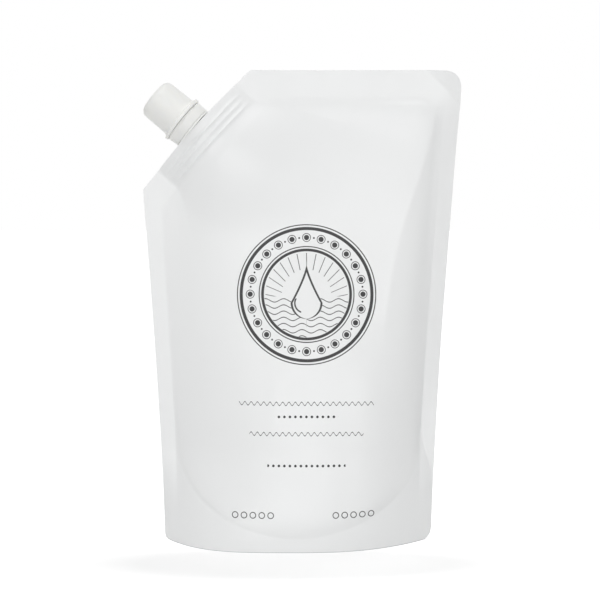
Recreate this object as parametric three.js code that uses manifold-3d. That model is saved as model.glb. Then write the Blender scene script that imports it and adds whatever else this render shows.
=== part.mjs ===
// A hand soap refill pack: a filled stand-up pouch of white film with a folded base, and a
// pouring spout welded into its sloping shoulder. A cap screws onto the spout, and a tamper
// band below the cap stays on the neck when the cap is first turned off.
// Millimetres, +Z up, the front faces -Y, and the origin is on the floor under the pouch's middle.
import * as THREE from "three";
import { mergeVertices } from "three/addons/utils/BufferGeometryUtils.js";
import Module from "manifold-3d";

const wasm = await Module();
wasm.setup();

// Pouch outline
const pouchHeight = 227.5;
const topHalfWidth = 79.2;
const baseHalfWidth = 65.2;
const flareExponent = 1.31;
const shoulderRun = 51.8;
const shoulderDrop = 57.2;
const shoulderBow = 1.15;
const topCornerRadius = 9;
const rightFootRadius = 6;
const leftFootRadius = 3;

// Heat seals and film
const topSeal = 11.2;
const sideSeal = 7.3;
const shoulderSeal = 11.9;
const baseSeal = 6.5;
const gussetHeight = 48;
const gussetCurveExponent = 1.85;
const filmPair = 0.36;
const skirtWall = 0.45;

// How the filled pouch bulges
const baseHalfDepth = 31;
const baseLeftExponent = 3.8;
const baseRightExponent = 2.4;
const bulgeHalfDepth = 27;
const bulgeExponent = 2.5;
const acrossExponent = 2.5;
const shoulderHipSlope = 0.4;
const hipSharpness = 3;
const sealPuff = 1.1;
const restSpotHalfLength = 30;
const restSpotHalfWidth = 11;
const foldRise = 0.86;
const foldEndInset = 1.5;
const thinnestHollow = 0.8;
const seamTurn = Math.PI / 3.4;

// Spout weld boat, with sealing ribs round it
const boatLength = 46.6;
const boatThickness = 14.8;
const boatDepth = 11.2;
const boatTipThickness = 1;
const ribCount = 3;
const ribPitch = 3.1;
const ribHeight = 0.5;
const ribWidth = 1.2;
const firstRibDepth = 3.9;
const ribShowThrough = 0.4;

// How the film runs from the boat down into the panel, widening as it goes
const filmTaper = 3.4;
const runOutLength = 120;
const runOutBend = 0.08;
const runOutSpread = 0.45;

// Spout neck, measured outwards from the film's edge. It leans a little off square and sits a
// little below the shoulder's middle, as welded.
const spoutLean = THREE.MathUtils.degToRad(2.8);
const spoutOffset = -0.4;
const boreDiameter = 11.2;
const neckDiameter = 14.4;
const neckLength = 23.5;
const neckLipChamfer = 0.5;
const beadDiameter = 18.4;
const beadThickness = 1.3;

// Cap, its sealing disc and the tamper band
const capDiameter = 20.4;
const capTopDiameter = 20;
const capTopRadius = 3.6;
const capDome = 0.3;
const capWall = 1.4;
const capSkirtBore = 19.2;
const skirtFlangeDiameter = 24;
const skirtFlangeThickness = 1.6;
const skirtFlare = 1.8;
const sealDiscThickness = 0.9;
const bandDiameter = 22.4;
const bandWall = 1.1;
const bandHeight = 5;
const bandHookDepth = 2;
const bandHookThickness = 0.9;
const bandBridgeCount = 8;
const bandBridgeWidth = 0.9;
const bandBridgeThickness = 0.8;
const tearGap = 0.8;

// Room between pieces that meet, and the edge that small chamfers take off
const clearance = 0.3;
const edgeChamfer = 0.3;

// Fineness of the facets
const leftSteps = 21;
const shoulderSteps = 15;
const acrossSteps = 26;
const turnSteps = 44;
const gussetSections = 28;

const mix = (a, b, t) => a + (b - a) * t;
const ramp = (t) => {
  const s = Math.min(Math.max(t, 0), 1);
  return s * s * (3 - 2 * s);
};

// The pouch's half width at a height: the filled base draws its sides in.
const halfWidth = (z) =>
  mix(baseHalfWidth, topHalfWidth, (Math.max(z, 0) / pouchHeight) ** flareExponent);

// The shoulder is the straight cut across the top left corner. It starts where it meets the side.
const shoulderFootZ = pouchHeight - shoulderDrop;
const shoulderFoot = new THREE.Vector2(-halfWidth(shoulderFootZ), shoulderFootZ);
const shoulderTop = new THREE.Vector2(shoulderFoot.x + shoulderRun, pouchHeight);
const shoulderAlong = shoulderTop.clone().sub(shoulderFoot).normalize();
const shoulderInward = new THREE.Vector2(shoulderAlong.y, -shoulderAlong.x);
const shoulderMiddle = shoulderFoot.clone().lerp(shoulderTop, 0.5);

// A point's place along the shoulder from its middle, and its depth in from the shoulder's edge.
const shoulderPlace = (x, z) => {
  const from = new THREE.Vector2(x, z).sub(shoulderMiddle);
  return { along: from.dot(shoulderAlong), depth: from.dot(shoulderInward) };
};

// The base seal is a wide U: its arms run up into the side seals, and its middle is low.
const sealTopZ = pouchHeight - topSeal;
const sealCurveHalfWidth = halfWidth(gussetHeight) - sideSeal;
const sealCurvePoint = (angle) => {
  const power = 2 / gussetCurveExponent;
  const across = Math.abs(Math.sin(angle)) ** power * Math.sign(angle);
  const down = Math.abs(Math.cos(angle)) ** power;
  return new THREE.Vector2(
    across * sealCurveHalfWidth,
    gussetHeight - down * (gussetHeight - baseSeal),
  );
};
const sealCurveZ = (x) => {
  const across = Math.min(Math.abs(x) / sealCurveHalfWidth, 1) ** gussetCurveExponent;
  return gussetHeight - (gussetHeight - baseSeal) * (1 - across) ** (1 / gussetCurveExponent);
};

// The boat's half thickness along its length: a lens with blunt tips.
const boatHalfAt = (along, half, tipHalf) =>
  mix(tipHalf, half, Math.max(1 - (2 * along / boatLength) ** 2, 0));

// How far the film stands out over the boat, with its ribs showing, and past it on its way down
// into the panel.
const filmOverBoat = boatThickness / 2 + clearance + filmPair;
const ribDepths = Array.from({ length: ribCount }, (_, i) => firstRibDepth + i * ribPitch);
function boatBulge(x, z) {
  const { along, depth } = shoulderPlace(x, z);
  const past = Math.max(depth - shoulderSeal, 0);
  const reach = boatLength / 2 + filmTaper + runOutSpread * past;
  const lens = filmOverBoat * Math.max(1 - (along / reach) ** 2, 0);
  const bentRun = Math.hypot(past / runOutLength, runOutBend) - runOutBend;
  const runOut = Math.max(1 - bentRun / (Math.hypot(1, runOutBend) - runOutBend), 0);
  const ridge = ribDepths
    .map((d) => ribShowThrough * Math.max(1 - Math.abs(depth - d) / (ribPitch / 2), 0))
    .reduce((sum, r) => sum + r, 0);
  return lens * runOut + ridge * ramp(lens / (filmOverBoat / 2));
}

// Half the pouch's depth, front to back, at a point of its face. The base opens into a lens, the
// panel bulges between its seals and tapers to the top, and the film runs flat in the seals.
function halfDepth(x, z) {
  const fromSide = halfWidth(z) - Math.abs(x);
  const roundness = x < 0 ? baseLeftExponent : baseRightExponent;
  const lens = baseHalfDepth * Math.max(1 - (Math.abs(x) / halfWidth(z)) ** roundness, 0);
  const up = Math.min(Math.max(z / sealTopZ, 0), 1);
  const out = Math.min(Math.abs(x) / (halfWidth(z) - sideSeal), 1);
  const crown = bulgeHalfDepth * (1 - up ** 2) ** bulgeExponent * (1 - out ** acrossExponent);
  const hip = shoulderHipSlope * (shoulderPlace(x, z).depth - shoulderSeal);
  const inside = crown > 0 && hip > 0;
  const panel = inside ? (crown ** -hipSharpness + hip ** -hipSharpness) ** (-1 / hipSharpness) : 0;
  const above = Math.max(z - sealCurveZ(x), 0);
  const puff = sealPuff * (1 - Math.exp(-above / baseSeal)) * Math.exp(-above / gussetHeight);
  const body = mix(lens, panel, ramp(z / gussetHeight)) + puff * ramp(fromSide / sideSeal - 1);
  const boat = boatBulge(x, z);
  const overlap = Math.max(body, 0) * boat;
  const together = Math.hypot(body - boat, overlap / (1 + overlap / 2));
  return Math.max((body + boat + together) / 2, filmPair / 2);
}

// A closed mesh whose shared corners are merged, as a solid to cut and join, and back again.
function solidOf(geometry) {
  const bare = geometry.clone();
  bare.deleteAttribute("normal");
  bare.deleteAttribute("uv");
  const merged = mergeVertices(bare, 1e-4);
  return new wasm.Manifold(
    new wasm.Mesh({
      numProp: 3,
      vertProperties: new Float32Array(merged.attributes.position.array),
      triVerts: new Uint32Array(merged.index.array),
    }),
  );
}
function geometryOf(solid) {
  const { vertProperties, triVerts } = solid.getMesh();
  const geometry = new THREE.BufferGeometry();
  geometry.setAttribute("position", new THREE.BufferAttribute(vertProperties, 3));
  geometry.setIndex(new THREE.BufferAttribute(triVerts, 1));
  geometry.computeVertexNormals();
  return geometry;
}
function geometryFrom(points, triangles) {
  const geometry = new THREE.BufferGeometry();
  geometry.setAttribute("position", new THREE.Float32BufferAttribute(points.flat(), 3));
  geometry.setIndex(triangles.flat());
  return geometry;
}

// Points at even spacing along a run of 2-D points.
const spaced = (run, steps) => {
  const path = new THREE.CurvePath();
  run.slice(1).forEach((p, i) => {
    if (p.distanceTo(run[i]) > 1e-6) path.add(new THREE.LineCurve(run[i], p));
  });
  return path.getSpacedPoints(steps);
};
const sideRun = (side, inset, fromZ, toZ) =>
  Array.from({ length: 25 }, (_, i) => {
    const z = mix(fromZ, toZ, i / 24);
    return new THREE.Vector2(side * (halfWidth(z) - inset), z);
  });
const halfCorner = (start, corner, end) => {
  const points = new THREE.QuadraticBezierCurve(start, corner, end).getPoints(12);
  return { before: points.slice(0, 7), after: points.slice(6) };
};
const bowedShoulder = Array.from({ length: 17 }, (_, i) => {
  const t = i / 16;
  const bow = 4 * shoulderBow * t * (1 - t);
  return shoulderFoot.clone().lerp(shoulderTop, t).addScaledVector(shoulderInward, -bow);
});
const sealArm = (fromAngle, toAngle) =>
  Array.from({ length: 25 }, (_, i) => sealCurvePoint(mix(fromAngle, toAngle, i / 24)));

// The pouch's edge and the inner edge of its seals, as two loops of matching points. Each runs
// up the left side, over the shoulder, along the top, down the right side and back along the base.
function pouchLoops() {
  const leftFoot = halfCorner(
    new THREE.Vector2(leftFootRadius - halfWidth(0), 0),
    new THREE.Vector2(-halfWidth(0), 0),
    new THREE.Vector2(-halfWidth(leftFootRadius), leftFootRadius),
  );
  const rightFoot = halfCorner(
    new THREE.Vector2(halfWidth(rightFootRadius), rightFootRadius),
    new THREE.Vector2(halfWidth(0), 0),
    new THREE.Vector2(halfWidth(0) - rightFootRadius, 0),
  );
  const cornerZ = pouchHeight - topCornerRadius;
  const topCorner = halfCorner(
    new THREE.Vector2(halfWidth(pouchHeight) - topCornerRadius, pouchHeight),
    new THREE.Vector2(halfWidth(pouchHeight), pouchHeight),
    new THREE.Vector2(halfWidth(cornerZ), cornerZ),
  );
  // The inner corner of the shoulder seal lies where its line meets the side seal's inner edge.
  const innerAt = (z) => shoulderPlace(sideSeal - halfWidth(z), z).depth - shoulderSeal;
  let low = gussetHeight;
  let high = pouchHeight;
  for (let i = 0; i < 40; i++) {
    const middle = (low + high) / 2;
    if (innerAt(middle) > 0) low = middle;
    else high = middle;
  }
  const innerFoot = new THREE.Vector2(sideSeal - halfWidth(low), low);
  const innerTop = shoulderTop.clone().addScaledVector(shoulderInward, shoulderSeal);
  innerTop.addScaledVector(shoulderAlong, (sealTopZ - innerTop.y) / shoulderAlong.y);
  const innerRight = new THREE.Vector2(halfWidth(sealTopZ) - sideSeal, sealTopZ);
  const rightSteps = leftSteps + shoulderSteps;
  const outer = [
    spaced([...leftFoot.after, ...sideRun(-1, 0, leftFootRadius, shoulderFootZ)], leftSteps),
    spaced(bowedShoulder, shoulderSteps),
    spaced([shoulderTop, ...topCorner.before], acrossSteps),
    spaced(
      [...topCorner.after, ...sideRun(1, 0, cornerZ, rightFootRadius), ...rightFoot.before],
      rightSteps,
    ),
    spaced([...rightFoot.after, ...leftFoot.before], acrossSteps),
  ];
  const inner = [
    spaced([...sealArm(-seamTurn, -Math.PI / 2), ...sideRun(-1, sideSeal, gussetHeight, low)], leftSteps),
    spaced([innerFoot, innerTop], shoulderSteps),
    spaced([innerTop, innerRight], acrossSteps),
    spaced(
      [...sideRun(1, sideSeal, sealTopZ, gussetHeight), ...sealArm(Math.PI / 2, seamTurn)],
      rightSteps,
    ),
    spaced(sealArm(seamTurn, -seamTurn), acrossSteps),
  ];
  return { outer, inner };
}

// A net of points over the panel inside the seals, blended from its four edges.
function panelNet(inner) {
  const left = [...inner[0], ...inner[1].slice(1)];
  const right = [...inner[3]].reverse();
  const top = inner[2];
  const base = [...inner[4]].reverse();
  return left.map((_, j) => {
    const v = j / (left.length - 1);
    return top.map((_, i) => {
      const u = i / (top.length - 1);
      const point = left[j].clone().multiplyScalar(1 - u).addScaledVector(right[j], u);
      point.addScaledVector(base[i], 1 - v).addScaledVector(top[i], v);
      point.addScaledVector(base[0], (u - 1) * (1 - v)).addScaledVector(base[acrossSteps], -u * (1 - v));
      return point.addScaledVector(top[0], (u - 1) * v).addScaledVector(top[acrossSteps], -u * v);
    });
  });
}

// The filled pouch before its base is folded in: two bulging faces joined round the edge. Rows of
// points across the seals fall on the boat's ribs and between them.
function pouchBody() {
  const { outer, inner } = pouchLoops();
  const loopOf = (runs) => runs.flatMap((run) => run.slice(0, -1));
  const edge = loopOf(outer);
  const seal = loopOf(inner);
  const rows = [0, ...ribDepths.flatMap((d) => [d - ribPitch / 2, d])].map((d) => d / shoulderSeal);
  const points = [];
  const triangles = [];
  const place = (p, side) => points.push([p.x, side * halfDepth(p.x, p.y), p.y]) - 1;
  const quad = (a, b, c, d, side) => {
    if (side < 0) triangles.push([a, b, c], [a, c, d]);
    else triangles.push([a, c, b], [a, d, c]);
  };
  const rims = [-1, 1].map((side) => {
    const rings = rows.map((t) => edge.map((p, i) => place(p.clone().lerp(seal[i], t), side)));
    const net = panelNet(inner).map((row) => row.map((p) => place(p, side)));
    const lastRow = net.length - 1;
    const ring = [
      ...net.slice(0, -1).map((row) => row[0]),
      ...net[lastRow].slice(0, -1),
      ...net.slice(1).map((row) => row[acrossSteps]).reverse(),
      ...net[0].slice(1).reverse(),
    ];
    rings.push(ring);
    rings.slice(1).forEach((inside, k) => {
      inside.forEach((_, i) => {
        const next = (i + 1) % edge.length;
        quad(rings[k][i], rings[k][next], inside[next], inside[i], -side);
      });
    });
    for (let j = 0; j < lastRow; j++) {
      for (let i = 0; i < acrossSteps; i++) {
        quad(net[j][i], net[j][i + 1], net[j + 1][i + 1], net[j + 1][i], side);
      }
    }
    return rings[0];
  });
  const [front, back] = rims;
  front.forEach((a, i) => {
    const next = (i + 1) % front.length;
    quad(a, back[i], back[next], front[next], 1);
  });
  return solidOf(geometryFrom(points, triangles));
}

// The hollow under the folded base. The folded film hangs down between the front and back skirts,
// rests on the floor in its middle and climbs to the fold's height at the sides.
function baseFold() {
  const reach = baseHalfWidth - skirtWall - foldEndInset;
  const wallSteps = 5;
  const foldSteps = 10;
  const below = -3;
  const widestFlat = 0.8;
  const rimAt = (x) => {
    const down = 0.25;
    let rim = sealCurveZ(x);
    while (halfDepth(x, rim) < skirtWall + thinnestHollow / 2) rim -= down;
    return rim - skirtWall;
  };
  const foldAt = (x, across) => {
    const rim = rimAt(x);
    const along = Math.abs(x) / restSpotHalfLength;
    const spot = restSpotHalfWidth / (halfDepth(x, rim) - skirtWall);
    const flat = Math.min(spot * Math.sqrt(Math.max(1 - along ** 2, 0)), widestFlat);
    const climb = ramp((along - 1) / (reach / restSpotHalfLength - 1));
    const swing = ramp((Math.abs(across) - flat) / (1 - flat));
    return mix(mix(-clearance, foldRise * rim, climb), rim, swing);
  };
  const section = (x) => {
    const top = rimAt(x);
    const wall = (z) => halfDepth(x, z) - skirtWall;
    const right = Array.from({ length: wallSteps }, (_, k) => {
      const z = (top * k) / wallSteps;
      return [x, wall(z), z];
    });
    const fold = Array.from({ length: foldSteps + 1 }, (_, k) => {
      const across = 1 - (2 * k) / foldSteps;
      return [x, across * wall(top), Math.min(foldAt(x, across), top)];
    });
    const left = [...right].reverse().map(([px, py, pz]) => [px, -py, pz]);
    return [[x, wall(0), below], ...right, ...fold, ...left, [x, -wall(0), below]];
  };
  const sections = Array.from({ length: gussetSections + 1 }, (_, k) =>
    section(reach * Math.sin(mix(-Math.PI / 2, Math.PI / 2, k / gussetSections))),
  );
  const count = sections[0].length;
  const triangles = [];
  for (let k = 0; k < gussetSections; k++) {
    for (let i = 0; i < count; i++) {
      const a = k * count + i;
      const b = k * count + ((i + 1) % count);
      triangles.push([a, b, b + count], [a, b + count, a + count]);
    }
  }
  const outline = sections[0].map(([, y, z]) => new THREE.Vector2(y, z));
  for (const [a, b, c] of THREE.ShapeUtils.triangulateShape(outline, [])) {
    const last = gussetSections * count;
    triangles.push([a, c, b], [last + a, last + b, last + c]);
  }
  return solidOf(geometryFrom(sections.flat(), triangles));
}

// The spout's own frame: its axis is +Z, outwards, and its foot is on the film's edge.
const spoutFrame = new THREE.Group();
const spoutFoot = shoulderMiddle.clone().addScaledVector(shoulderAlong, spoutOffset);
spoutFrame.position.set(spoutFoot.x, 0, spoutFoot.y);
spoutFrame.rotation.y = -Math.atan2(shoulderAlong.y, shoulderAlong.x) - spoutLean;
spoutFrame.updateMatrixWorld(true);

// A lens-shaped plate round the spout's axis, such as the boat, a rib or the pocket for them.
function lensPlate(grow, fromZ, toZ) {
  const half = boatThickness / 2 + grow;
  const tipHalf = boatTipThickness / 2 + grow;
  const reach = boatLength / 2 + grow;
  const steps = 24;
  const edge = (side) =>
    Array.from({ length: steps + 1 }, (_, i) => {
      const along = mix(-1, 1, i / steps) * side;
      return new THREE.Vector2(along * reach, -side * boatHalfAt(along * boatLength / 2, half, tipHalf));
    });
  const plate = new THREE.ExtrudeGeometry(new THREE.Shape([...edge(1), ...edge(-1)]), {
    depth: toZ - fromZ,
    bevelEnabled: false,
  });
  return plate.translate(0, 0, fromZ);
}

function turned(profile) {
  const closed = [...profile, profile[0]].map(([r, z]) => new THREE.Vector2(r, z));
  return new THREE.LatheGeometry(closed, turnSteps).rotateX(Math.PI / 2);
}

function pouch() {
  const pocket = lensPlate(clearance, -boatDepth - clearance, 2 * shoulderSeal);
  pocket.applyMatrix4(spoutFrame.matrixWorld);
  return geometryOf(pouchBody().subtract(baseFold()).subtract(solidOf(pocket)));
}

// Places along the neck, each stacked on the last.
const bandZ = shoulderBow + clearance + (bandDiameter / 2) * Math.tan(spoutLean);
const hookZ = bandZ + bandHookDepth;
const beadZ = hookZ + bandHookThickness + clearance;
const skirtZ = bandZ + bandHeight + tearGap;
const capInsideZ = neckLength + sealDiscThickness + 2 * clearance;
const capTopZ = capInsideZ + capWall;

function spout() {
  const neckRadius = neckDiameter / 2;
  const boreRadius = boreDiameter / 2;
  const neck = turned([
    [0, -boatDepth],
    [neckRadius, -boatDepth],
    [neckRadius, beadZ],
    [beadDiameter / 2, beadZ],
    [neckRadius + edgeChamfer, beadZ + beadThickness],
    [neckRadius, beadZ + beadThickness],
    [neckRadius, neckLength - neckLipChamfer],
    [neckRadius - neckLipChamfer, neckLength],
    [0, neckLength],
  ]);
  const pastEnds = 1;
  const bore = turned([
    [0, -boatDepth - pastEnds],
    [boreRadius, -boatDepth - pastEnds],
    [boreRadius, neckLength + pastEnds],
    [0, neckLength + pastEnds],
  ]);
  const core = solidOf(lensPlate(-ribHeight, -boatDepth, -clearance));
  const ribs = ribDepths.map((d) => solidOf(lensPlate(0, -d - ribWidth / 2, -d + ribWidth / 2)));
  const boat = ribs.reduce((all, rib) => all.add(rib), core);
  return geometryOf(solidOf(neck).add(boat).subtract(solidOf(bore)));
}

function cap() {
  const top = capTopZ;
  const shoulderZ = top - capDome - capTopRadius;
  const skirtTop = skirtZ + skirtFlangeThickness;
  const topRadius = capTopDiameter / 2;
  const corner = Array.from({ length: 6 }, (_, i) => {
    const angle = (Math.PI / 2) * (i / 5);
    return [
      topRadius - capTopRadius + capTopRadius * Math.cos(angle),
      shoulderZ + capTopRadius * Math.sin(angle),
    ];
  });
  const flare = Array.from({ length: 4 }, (_, i) => {
    const t = i / 3;
    return [mix(skirtFlangeDiameter / 2, capDiameter / 2, 1 - (1 - t) ** 2), skirtTop + skirtFlare * t * t];
  });
  const bore = capDiameter / 2 - capWall;
  return turned([
    [capSkirtBore / 2, skirtZ],
    [skirtFlangeDiameter / 2 - edgeChamfer, skirtZ],
    [skirtFlangeDiameter / 2, skirtZ + edgeChamfer],
    ...flare,
    ...corner,
    [topRadius / 3, top - capDome / 9],
    [0, top],
    [0, capInsideZ],
    [bore, capInsideZ],
    [bore, skirtTop + skirtFlare],
    [capSkirtBore / 2, skirtTop + skirtFlare / 2],
  ]);
}

function sealDisc() {
  const radius = capDiameter / 2 - capWall - clearance;
  const z = neckLength + clearance;
  return turned([[0, z], [radius, z], [radius, z + sealDiscThickness], [0, z + sealDiscThickness]]);
}

function tamperBand() {
  const radius = bandDiameter / 2;
  const inside = radius - bandWall;
  const hook = neckDiameter / 2 + clearance;
  const ring = turned([
    [inside, bandZ],
    [radius - edgeChamfer, bandZ],
    [radius, bandZ + edgeChamfer],
    [radius, bandZ + bandHeight - edgeChamfer],
    [radius - edgeChamfer, bandZ + bandHeight],
    [inside, bandZ + bandHeight],
    [inside, hookZ + bandHookThickness],
    [hook, hookZ + bandHookThickness],
    [hook, hookZ + bandHookThickness / 2],
    [inside, hookZ],
  ]);
  const bridges = Array.from({ length: bandBridgeCount }, (_, i) => {
    const height = tearGap - clearance;
    const bridge = new THREE.BoxGeometry(bandBridgeThickness, bandBridgeWidth, 2 * height);
    bridge.translate(radius - bandWall / 2, 0, bandZ + bandHeight);
    return solidOf(bridge.rotateZ(((i + 0.5) * 2 * Math.PI) / bandBridgeCount));
  });
  return geometryOf(bridges.reduce((all, bridge) => all.add(bridge), solidOf(ring)));
}

function part(name, geometry, color, roughness) {
  const material = new THREE.MeshStandardMaterial({ color, roughness, metalness: 0 });
  const mesh = new THREE.Mesh(geometry, material);
  mesh.name = name;
  return mesh;
}

const filmWhite = 0xebecee;
const mouldedWhite = 0xe6e6e2;
const refillPack = new THREE.Group();
refillPack.add(part("pouch", pouch(), filmWhite, 0.35));
spoutFrame.add(part("spout", spout(), mouldedWhite, 0.45));
spoutFrame.add(part("tamper_band", tamperBand(), mouldedWhite, 0.5));
spoutFrame.add(part("cap", cap(), mouldedWhite, 0.5));
spoutFrame.add(part("seal_disc", sealDisc(), 0xf4f4f2, 0.7));
refillPack.add(spoutFrame);

export default refillPack;
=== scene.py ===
"""A filled hand soap refill pouch of white film, standing on its folded base.

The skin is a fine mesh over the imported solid: two sealed films with the bulge of the soap, welds,
creases and dents, and the folded base. The spout, its tamper band, the screw cap and its sealing
disc are modelled round the spout's slanting axis. Shapes are in millimetres until they are placed.
"""

import math
from typing import NamedTuple

import bpy
import numpy as np
from mathutils import Matrix, Vector


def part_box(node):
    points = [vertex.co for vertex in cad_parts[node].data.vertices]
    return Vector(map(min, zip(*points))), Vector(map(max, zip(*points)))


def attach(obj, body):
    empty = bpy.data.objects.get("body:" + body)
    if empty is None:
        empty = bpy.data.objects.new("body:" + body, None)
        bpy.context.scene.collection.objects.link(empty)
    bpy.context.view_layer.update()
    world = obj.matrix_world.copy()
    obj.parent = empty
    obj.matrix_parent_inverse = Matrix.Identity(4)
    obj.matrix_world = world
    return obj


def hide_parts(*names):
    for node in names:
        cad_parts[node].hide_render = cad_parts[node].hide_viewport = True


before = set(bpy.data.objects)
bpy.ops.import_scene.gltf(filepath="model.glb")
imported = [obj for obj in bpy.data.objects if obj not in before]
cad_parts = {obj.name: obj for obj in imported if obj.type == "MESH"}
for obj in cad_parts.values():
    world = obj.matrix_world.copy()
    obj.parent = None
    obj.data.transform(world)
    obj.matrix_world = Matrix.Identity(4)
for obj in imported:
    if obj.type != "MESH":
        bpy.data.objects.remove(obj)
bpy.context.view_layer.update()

MM = 0.001

# Pouch outline, in millimetres
_, pouch_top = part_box("pouch")
HEIGHT = pouch_top.z / MM
TOP_HALF_WIDTH = 79.2
BASE_HALF_WIDTH = 65.2
FLARE = 1.31
SHOULDER_RUN = 51.8
SHOULDER_DROP = 57.2
SHOULDER_BOW = 1.15
TOP_CORNER_RADIUS = 9.0
RIGHT_FOOT_RADIUS = 6.0
LEFT_FOOT_RADIUS = 3.0

# Heat seals and film
TOP_SEAL = 11.2
SIDE_SEAL = 7.3
SHOULDER_SEAL = 11.9
BASE_SEAL = 6.5
FOLD_HEIGHT = 48.0
FOLD_CURVE = 1.85
FILM_PAIR = 0.36
SKIRT_WALL = 0.3

# Bulge of the filled pouch
BASE_HALF_DEPTH = 31.0
BASE_LEFT_POWER = 3.8
BASE_RIGHT_POWER = 2.4
BULGE_HALF_DEPTH = 27.0
BULGE_POWER = 2.5
ACROSS_POWER = 2.5
SHOULDER_HIP = 0.4
HIP_SHARPNESS = 3.0
SEAL_PUFF = 1.1
REST_LENGTH = 30.0
REST_WIDTH = 11.0
FOLD_RISE = 0.86

# Spout boat under the film
BOAT_LENGTH = 46.6
BOAT_THICKNESS = 14.8
BOAT_DEPTH = 11.2
BOAT_TIP = 1.0
BOAT_FACE = -0.3
BOAT_RIBS = (3.9, 7.0, 10.1)
RIB_HEIGHT = 0.5
RIB_WIDTH = 1.2
BOAT_TAPER = 3.4
RUN_OUT = 120.0
RUN_OUT_BEND = 0.08
RUN_OUT_SPREAD = 0.6

# The gap between the boat and the films, and between mouldings
CLEARANCE = 0.3

# How the boat shows through the film: its ribs, which slant a little, and its softer upper end
RIB_SHOW = 0.6
RIB_SHARE = 0.2
RIB_SHIFT = 0.3
RIB_SLANT = 0.008
SOFT_END_RUN = 12.0
SOFT_END_REACH = 4.0
SOFT_END_POWER = 0.6

# Neck, cap and tamper band, measured out along the spout's axis from the film's edge
SPOUT_LEAN = 2.8
SPOUT_OFFSET = -0.4
BORE = 11.2
NECK = 14.4
NECK_LENGTH = 23.5
NECK_LIP = 0.5
BEAD = 18.4
BEAD_HEIGHT = 1.3
BAND_START = 2.0
BAND_HEIGHT = 5.0
BAND_FOOT = 21.7
BAND_TOP = 22.4
BAND_WALL = 1.1
COLLAR = 0.9
COLLAR_GAP = 0.05
COLLAR_RADIUS = 10.7
INNER_COLLAR_STEP = 0.42
INNER_COLLAR_TAPER = 0.03
INNER_COLLAR_GAP = 0.12
BRIDGES = 8
BRIDGE_HEIGHT = 0.7
BRIDGE_RISE = 0.1
BRIDGE_RADII = (0.55, 0.22)
TEAR_GAP = 0.8
HOOK_DEPTH = 2.0
HOOK = 0.9
LIP = 24.0
LIP_HEIGHT = 1.6
LIP_FLARE = 1.8
CAP_FOOT = 20.4
CAP_TOP = 20.0
CAP_CORNER = 3.6
CAP_DOME = 0.3
CAP_WALL = 1.4
CAP_SKIRT_BORE = 19.2
DISC_HEIGHT = 0.9
DISC_GROOVE = 0.12
DISC_EDGE = 0.2
AXIS_HOLE = 0.05
ROUND_STEPS = 128

# The threads: how far a ridge stands out and sinks in, its widths at foot and crest, and its ends
THREAD_LEAD = 5.4
THREAD_SINK = 0.1
NECK_THREAD = 0.95
NECK_THREAD_WIDTHS = (1.5, 0.6)
NECK_THREAD_FROM_BEAD = 1.6
NECK_THREAD_FROM_END = 2.2
CAP_THREAD = 0.55
CAP_THREAD_WIDTHS = (1.1, 0.5)
CAP_THREAD_FROM_FLARE = 0.8
CAP_THREAD_FROM_TOP = 3.2

# The camera of the photograph, in millimetres and degrees
CAMERA_PLACE = (0.97, -705.6, 168.56)
CAMERA_PITCH = 4.18
CAMERA_LENS = 87.52
CAMERA_SENSOR = 36


def mix(a, b, t):
    return a + (b - a) * t


def ramp(t):
    s = np.clip(t, 0, 1)
    return s * s * (3 - 2 * s)


def bell(t):
    return np.exp(-t * t)


def half_width(z):
    return mix(BASE_HALF_WIDTH, TOP_HALF_WIDTH, (np.maximum(z, 0) / HEIGHT) ** FLARE)


FOOT = np.array([-half_width(HEIGHT - SHOULDER_DROP), HEIGHT - SHOULDER_DROP])
CREST = FOOT + np.array([SHOULDER_RUN, SHOULDER_DROP])
ALONG = (CREST - FOOT) / np.hypot(*(CREST - FOOT))
INWARD = np.array([ALONG[1], -ALONG[0]])
MIDDLE = (FOOT + CREST) / 2
SEAL_TOP = HEIGHT - TOP_SEAL


def shoulder_place(x, z):
    """Distance along the shoulder from its middle, and depth in from its edge."""
    dx, dz = x - MIDDLE[0], z - MIDDLE[1]
    return dx * ALONG[0] + dz * ALONG[1], dx * INWARD[0] + dz * INWARD[1]


CURVE_HALF_WIDTH = half_width(FOLD_HEIGHT) - SIDE_SEAL


def base_seal_z(x):
    across = np.minimum(np.abs(x) / CURVE_HALF_WIDTH, 1) ** FOLD_CURVE
    return FOLD_HEIGHT - (FOLD_HEIGHT - BASE_SEAL) * (1 - across) ** (1 / FOLD_CURVE)


def boat_bulge(x, z):
    """How far the film stands out over the spout's boat and its ribs, and where it runs down from
    the boat into the panel."""
    along, depth = shoulder_place(x, z)
    past = np.maximum(depth - SHOULDER_SEAL, 0)
    cover = BOAT_THICKNESS / 2 + CLEARANCE + FILM_PAIR
    reach = BOAT_LENGTH / 2 + BOAT_TAPER + RUN_OUT_SPREAD * past
    soft = ramp(along / SOFT_END_RUN)
    off = along / (reach + SOFT_END_REACH * soft)
    lens = cover * np.maximum(1 - off**2, 0) ** (1 + SOFT_END_POWER * soft)
    run = past / RUN_OUT
    bend = RUN_OUT_BEND
    run_out = 1 - (np.hypot(run, bend) - bend) / (math.hypot(1, bend) - bend)
    rib_width = RIB_SHARE * (BOAT_RIBS[1] - BOAT_RIBS[0])
    slanting = depth + RIB_SHIFT - RIB_SLANT * along
    ridge = sum(RIB_SHOW * bell((slanting - rib) / rib_width) for rib in BOAT_RIBS)
    return lens * np.maximum(run_out, 0) + ridge * ramp(lens / (cover / 2))


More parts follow.
